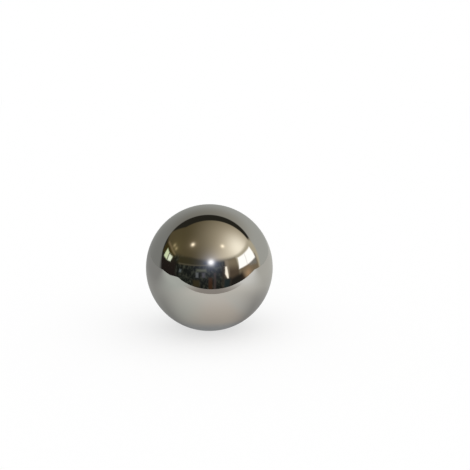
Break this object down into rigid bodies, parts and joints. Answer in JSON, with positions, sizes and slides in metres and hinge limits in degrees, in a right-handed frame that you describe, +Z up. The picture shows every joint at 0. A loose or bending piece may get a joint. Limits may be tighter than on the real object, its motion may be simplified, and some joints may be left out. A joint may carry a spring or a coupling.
{
  "type": "decorative metal ball",
  "caption": "Mirror-polished hollow steel ball for display; it sits in a ring, dish, planter or other hollow.",
  "frame": {"origin": "centre of the ball", "axes": "+Z up"},
  "size_m": [0.12, 0.12, 0.12],
  "materials": {
    "polished_steel": "polished"
  },
  "bodies": {
    "root": {"ball": "polished_steel"}
  },
  "joints": []
}
